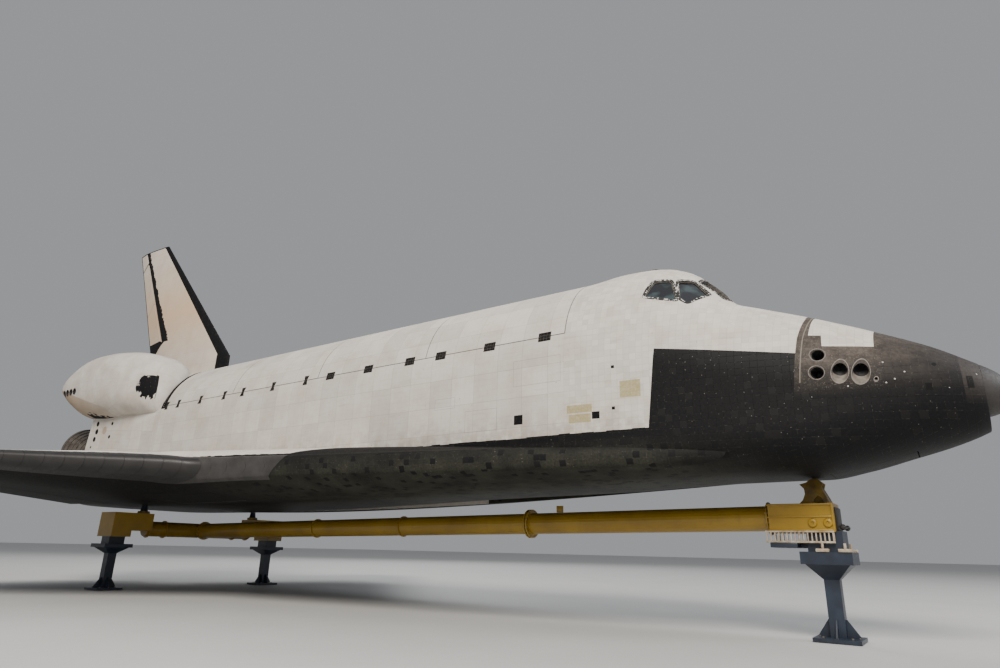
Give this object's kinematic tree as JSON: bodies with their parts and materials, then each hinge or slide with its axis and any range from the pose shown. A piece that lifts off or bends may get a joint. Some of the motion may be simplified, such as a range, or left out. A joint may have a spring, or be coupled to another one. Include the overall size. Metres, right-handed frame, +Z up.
{
  "type": "space shuttle orbiter on display cradle",
  "caption": "Full-size winged spaceplane orbiter with opening payload bay, control surfaces and gear doors, resting on a yellow museum cradle with grey piers.",
  "frame": {"origin": "on the floor under the middle of the orbiter's length, on its middle plane", "axes": "+X to the nose, +Y to the port side, +Z up"},
  "size_m": [37.2643, 23.7916, 16.924],
  "materials": {
    "white_tile": "satin",
    "white_blanket": "matte",
    "fin_blanket": "matte",
    "black_tile": "satin",
    "carbon_grey": "satin",
    "window_glass": "polished",
    "cabin_grey": "satin",
    "seat_cloth": "matte",
    "engine_metal": "satin",
    "stand_yellow": "gloss",
    "pier_grey": "satin"
  },
  "bodies": {
    "orbiter_and_cradle": {"nose_cap": "carbon_grey", "forward_fuselage": "white_tile", "windshield_glass": "window_glass", "flight_deck_floor": "cabin_grey", "instrument_panel": "cabin_grey", "commander_seat": "seat_cloth", "pilot_seat": "seat_cloth", "mid_fuselage": "white_tile", "main_engine_upper": "engine_metal", "main_engine_left": "engine_metal", "main_engine_right": "engine_metal", "aft_fuselage": "white_tile", "oms_pod_left": "white_blanket", "oms_pod_right": "white_blanket", "oms_nozzle_left": "engine_metal", "oms_nozzle_right": "engine_metal", "wing_left": "black_tile", "wing_right": "black_tile", "vertical_fin": "fin_blanket", "stand_forward_box": "stand_yellow", "stand_forward_bracket": "stand_yellow", "stand_centre_tube": "stand_yellow", "stand_cross_beam": "stand_yellow", "stand_aft_strut_left": "pier_grey", "aft_pier_left": "pier_grey", "stand_aft_strut_right": "pier_grey", "aft_pier_right": "pier_grey", "forward_pier": "pier_grey"},
    "side_hatch": {"side_hatch": "white_tile"},
    "nose_gear_door_left": {"nose_gear_door_left": "black_tile"},
    "nose_gear_door_right": {"nose_gear_door_right": "black_tile"},
    "payload_bay_door_left": {"payload_bay_door_left": "white_blanket"},
    "payload_bay_door_right": {"payload_bay_door_right": "white_blanket"},
    "body_flap": {"body_flap": "black_tile"},
    "main_gear_door_left": {"main_gear_door_left": "black_tile"},
    "main_gear_door_right": {"main_gear_door_right": "black_tile"},
    "elevon_inboard_left": {"elevon_inboard_left": "black_tile"},
    "elevon_inboard_right": {"elevon_inboard_right": "black_tile"},
    "elevon_outboard_left": {"elevon_outboard_left": "black_tile"},
    "elevon_outboard_right": {"elevon_outboard_right": "black_tile"},
    "rudder_hinge_tube": {"rudder_hinge_tube": "black_tile"},
    "rudder_panel_left": {"rudder_panel_left": "fin_blanket"},
    "rudder_panel_right": {"rudder_panel_right": "fin_blanket"}
  },
  "joints": [
    {"name": "payload_bay_door_left_hinge", "type": "hinge", "parent": "orbiter_and_cradle", "child": "payload_bay_door_left", "pos_m": [0.6223, 2.67462, 6.88086], "axis": [-1, 0, 0], "range_deg": [0, 175.5]},
    {"name": "payload_bay_door_right_hinge", "type": "hinge", "parent": "orbiter_and_cradle", "child": "payload_bay_door_right", "pos_m": [0.6223, -2.67462, 6.88086], "axis": [1, 0, 0], "range_deg": [0, 175.5]},
    {"name": "side_hatch_hinge", "type": "hinge", "parent": "orbiter_and_cradle", "child": "side_hatch", "pos_m": [11.5443, 2.57556, 4.7371], "axis": [-1, 0, 0], "range_deg": [0, 90]},
    {"name": "nose_gear_door_left_hinge", "type": "hinge", "parent": "orbiter_and_cradle", "child": "nose_gear_door_left", "pos_m": [15.9893, 0.508, 3.52806], "axis": [0.977, 0, 0.2132], "range_deg": [0, 90]},
    {"name": "nose_gear_door_right_hinge", "type": "hinge", "parent": "orbiter_and_cradle", "child": "nose_gear_door_right", "pos_m": [15.9893, -0.508, 3.52806], "axis": [-0.977, 0, -0.2132], "range_deg": [0, 90]},
    {"name": "main_gear_door_left_hinge", "type": "hinge", "parent": "orbiter_and_cradle", "child": "main_gear_door_left", "pos_m": [-3.7211, 4.25958, 3.19532], "axis": [0.9985, 0, 0.0542], "range_deg": [0, 85]},
    {"name": "main_gear_door_right_hinge", "type": "hinge", "parent": "orbiter_and_cradle", "child": "main_gear_door_right", "pos_m": [-3.7211, -4.25958, 3.19532], "axis": [-0.9985, 0, -0.0542], "range_deg": [0, 85]},
    {"name": "body_flap_hinge", "type": "hinge", "parent": "orbiter_and_cradle", "child": "body_flap", "pos_m": [-14.3129, 0, 3.49504], "axis": [0, -1, 0], "range_deg": [-11.7, 22.55]},
    {"name": "elevon_inboard_left_hinge", "type": "hinge", "parent": "orbiter_and_cradle", "child": "elevon_inboard_left", "pos_m": [-10.6299, 5.461, 3.5909], "axis": [0, -0.9981, -0.0615], "range_deg": [-35, 20]},
    {"name": "elevon_outboard_left_hinge", "type": "hinge", "parent": "orbiter_and_cradle", "child": "elevon_outboard_left", "pos_m": [-10.6299, 9.652, 3.849], "axis": [0, -0.9981, -0.0615], "range_deg": [-35, 20]},
    {"name": "elevon_inboard_right_hinge", "type": "hinge", "parent": "orbiter_and_cradle", "child": "elevon_inboard_right", "pos_m": [-10.6299, -5.461, 3.5909], "axis": [0, -0.9981, 0.0615], "range_deg": [-35, 20]},
    {"name": "elevon_outboard_right_hinge", "type": "hinge", "parent": "orbiter_and_cradle", "child": "elevon_outboard_right", "pos_m": [-10.6299, -9.652, 3.849], "axis": [0, -0.9981, 0.0615], "range_deg": [-35, 20]},
    {"name": "rudder_hinge", "type": "hinge", "parent": "orbiter_and_cradle", "child": "rudder_hinge_tube", "pos_m": [-15.7772, 0, 13.73124], "axis": [-0.5362, 0, 0.8441], "range_deg": [-27.1, 27.1]},
    {"name": "speedbrake_left_hinge", "type": "hinge", "parent": "rudder_hinge_tube", "child": "rudder_panel_left", "pos_m": [-15.7772, 0, 13.73124], "axis": [0.5362, 0, -0.8441], "range_deg": [0, 49.3]},
    {"name": "speedbrake_right_hinge", "type": "hinge", "parent": "rudder_hinge_tube", "child": "rudder_panel_right", "pos_m": [-15.7772, 0, 13.73124], "axis": [-0.5362, 0, 0.8441], "range_deg": [0, 49.3]}
  ],
  "couplings": [
    {"joint": "speedbrake_right_hinge", "follows": "speedbrake_left_hinge", "ratio": 1}
  ]
}
